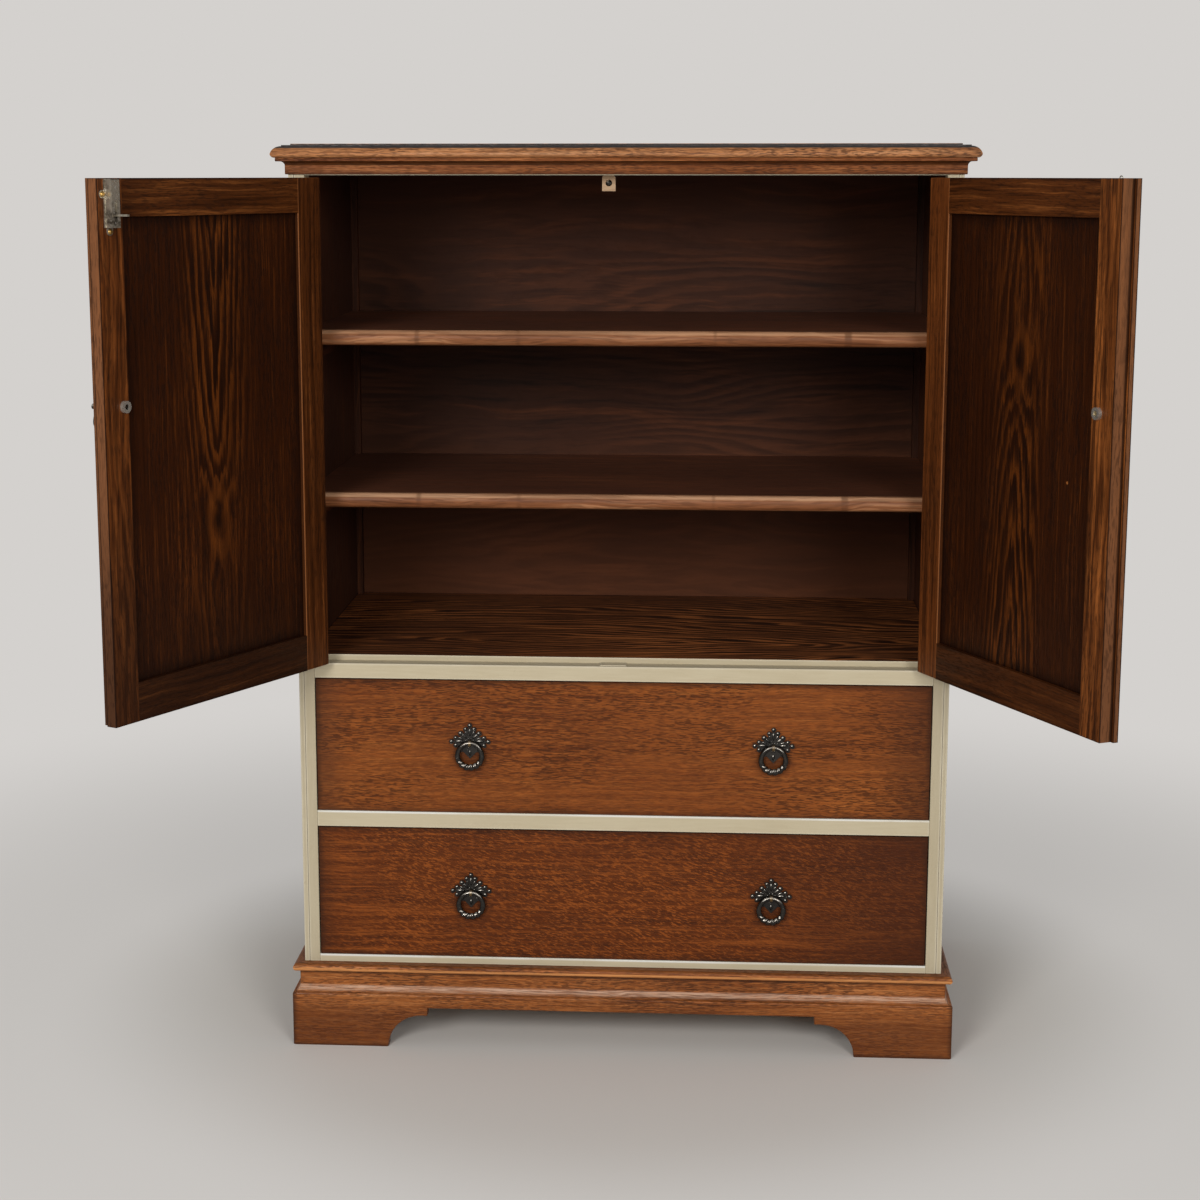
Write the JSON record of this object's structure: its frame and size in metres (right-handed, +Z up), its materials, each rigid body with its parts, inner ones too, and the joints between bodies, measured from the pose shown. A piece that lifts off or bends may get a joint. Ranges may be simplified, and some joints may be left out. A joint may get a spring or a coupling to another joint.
{
  "type": "linen press",
  "caption": "Oak linen press with panelled doors over shelves, full-width drawers with ring pulls, moulded cornice and arched bracket plinth.",
  "frame": {"origin": "on the floor, at the middle of the bottom face of the plinth's back board", "axes": "+X to the viewer's right, +Y to the back, +Z up; the front faces -Y"},
  "size_m": [1.1934, 0.8686, 1.22],
  "materials": {
    "cream_paint": "satin cream paint over wood, worn at the edges",
    "oak_case": "stained and polished oak",
    "oak_plinth": "stained and polished oak",
    "inside_wood": "dark stained board",
    "pale_wood": "bare pale wood",
    "oak_door": "dark stained oak",
    "oak_drawer": "stained and polished oak",
    "black_iron": "blackened cast metal with rubbed highlights",
    "nickel": "satin nickel",
    "brass": "aged brass"
  },
  "bodies": {
    "carcass": {"side_panel_left": "cream_paint", "side_panel_right": "cream_paint", "front_stiles": "cream_paint", "back_panel": "inside_wood", "back_battens": "inside_wood", "top_board": "oak_case", "cornice_front": "oak_case", "cornice_returns": "oak_case", "head_rail": "cream_paint", "inner_top_rail": "inside_wood", "stop_block": "pale_wood", "stop_block_screw": "black_iron", "cupboard_floor": "cream_paint", "keep_plate": "cream_paint", "door_rail": "cream_paint", "drawer_rail": "cream_paint", "bottom_rail": "cream_paint", "shelves": "inside_wood", "shelf_lippings": "inside_wood", "shelf_bearers": "inside_wood", "drawer_runners": "inside_wood", "plinth_front": "oak_plinth", "plinth_sides": "oak_plinth", "plinth_back": "inside_wood", "plinth_blocks": "inside_wood", "nosing_front": "oak_plinth", "nosing_returns": "oak_plinth", "frame_hinge_leaves": "brass"},
    "left_door": {"left_hinge_stile": "oak_door", "left_meeting_stile": "oak_door", "left_rails": "oak_door", "left_panel": "oak_door", "left_hinge_leaves": "brass", "left_bolt_case": "nickel", "left_bolt_screws": "brass", "left_pull_plate": "black_iron", "left_pull_nut": "nickel"},
    "left_bolt": {"left_bolt_slide": "nickel"},
    "left_ring": {"left_pull_ring": "black_iron"},
    "right_door": {"right_hinge_stile": "oak_door", "right_meeting_stile": "oak_door", "right_rails": "oak_door", "right_panel": "oak_door", "right_hinge_leaves": "brass", "right_pull_plate": "black_iron", "right_pull_nut": "nickel", "right_wire_loop": "nickel"},
    "right_ring": {"right_pull_ring": "black_iron"},
    "upper_drawer": {"upper_drawer_front": "oak_drawer", "upper_drawer_box": "pale_wood", "upper_drawer_bottom": "pale_wood", "upper_pull_plates": "black_iron"},
    "upper_ring_left": {"upper_ring_left": "black_iron"},
    "upper_ring_right": {"upper_ring_right": "black_iron"},
    "lower_drawer": {"lower_drawer_front": "oak_drawer", "lower_drawer_box": "pale_wood", "lower_drawer_bottom": "pale_wood", "lower_pull_plates": "black_iron"},
    "lower_ring_left": {"lower_ring_left": "black_iron"},
    "lower_ring_right": {"lower_ring_right": "black_iron"}
  },
  "joints": [
    {"name": "left_door_hinge", "type": "hinge", "parent": "carcass", "child": "left_door", "pos_m": [-0.4118, -0.4732, 0.857], "axis": [0, 0, -1], "range_deg": [-117.7, 52]},
    {"name": "right_door_hinge", "type": "hinge", "parent": "carcass", "child": "right_door", "pos_m": [0.4118, -0.4732, 0.857], "axis": [0, 0, 1], "range_deg": [-115.5, 54]},
    {"name": "left_bolt_slide", "type": "slide", "parent": "left_door", "child": "left_bolt", "axis": [0, 0, 1], "range_m": [0, 0.012]},
    {"name": "upper_drawer_slide", "type": "slide", "parent": "carcass", "child": "upper_drawer", "axis": [0, -1, 0], "range_m": [0, 0.33]},
    {"name": "lower_drawer_slide", "type": "slide", "parent": "carcass", "child": "lower_drawer", "axis": [0, -1, 0], "range_m": [0, 0.33]},
    {"name": "left_ring_swing", "type": "hinge", "parent": "left_door", "child": "left_ring", "pos_m": [-0.59239, -0.80792, 0.9146], "axis": [0.4648, 0.8854, 0], "range_deg": [0, 100]},
    {"name": "right_ring_swing", "type": "hinge", "parent": "right_door", "child": "right_ring", "pos_m": [0.5794, -0.8146, 0.9146], "axis": [0.4305, -0.9026, 0], "range_deg": [0, 100]},
    {"name": "upper_ring_left_swing", "type": "hinge", "parent": "upper_drawer", "child": "upper_ring_left", "pos_m": [-0.20348, -0.4765, 0.428], "axis": [-1, 0, 0], "range_deg": [0, 100]},
    {"name": "upper_ring_right_swing", "type": "hinge", "parent": "upper_drawer", "child": "upper_ring_right", "pos_m": [0.20348, -0.4765, 0.428], "axis": [-1, 0, 0], "range_deg": [0, 100]},
    {"name": "lower_ring_left_swing", "type": "hinge", "parent": "lower_drawer", "child": "lower_ring_left", "pos_m": [-0.20348, -0.4765, 0.219], "axis": [-1, 0, 0], "range_deg": [0, 100]},
    {"name": "lower_ring_right_swing", "type": "hinge", "parent": "lower_drawer", "child": "lower_ring_right", "pos_m": [0.20348, -0.4765, 0.219], "axis": [-1, 0, 0], "range_deg": [0, 100]}
  ]
}
